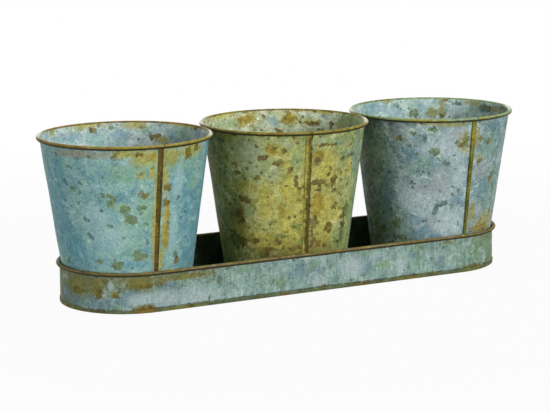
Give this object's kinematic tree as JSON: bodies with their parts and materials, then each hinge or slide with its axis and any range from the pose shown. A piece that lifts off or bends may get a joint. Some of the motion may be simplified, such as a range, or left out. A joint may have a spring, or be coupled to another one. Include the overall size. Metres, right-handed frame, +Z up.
{
  "type": "indoor herb planter",
  "caption": "Tapered sheet-steel herb pots with wired rims and lock seams, standing in an oblong round-ended drip tray.",
  "frame": {"origin": "on the ground under the middle of the tray, which is the middle pot's axis", "axes": "+Z up, +X along the row of pots to the right, -Y the front, where the pots' seams face"},
  "size_m": [0.328, 0.108, 0.1034],
  "materials": {
    "left_pot_patina": "weathered blue-green patina on galvanised sheet",
    "middle_pot_patina": "weathered mustard and green patina on galvanised sheet",
    "right_pot_patina": "weathered pale grey-blue patina on galvanised sheet",
    "tray_patina": "weathered grey-blue and olive patina on galvanised sheet",
    "rim_wire": "drawn steel wire"
  },
  "bodies": {
    "tray": {"tray_wall": "tray_patina", "tray_floor": "tray_patina", "tray_rim_wire": "rim_wire"},
    "left_pot": {"left_pot_wall": "left_pot_patina", "left_pot_base": "left_pot_patina", "left_pot_rim_wire": "rim_wire"},
    "middle_pot": {"middle_pot_wall": "middle_pot_patina", "middle_pot_base": "middle_pot_patina", "middle_pot_rim_wire": "rim_wire"},
    "right_pot": {"right_pot_wall": "right_pot_patina", "right_pot_base": "right_pot_patina", "right_pot_rim_wire": "rim_wire"}
  },
  "joints": [
    {"name": "left_pot_lift", "type": "slide", "parent": "tray", "child": "left_pot", "axis": [0, 0, 1], "range_m": [0, 0.12]},
    {"name": "middle_pot_lift", "type": "slide", "parent": "tray", "child": "middle_pot", "axis": [0, 0, 1], "range_m": [0, 0.12]},
    {"name": "right_pot_lift", "type": "slide", "parent": "tray", "child": "right_pot", "axis": [0, 0, 1], "range_m": [0, 0.12]}
  ]
}
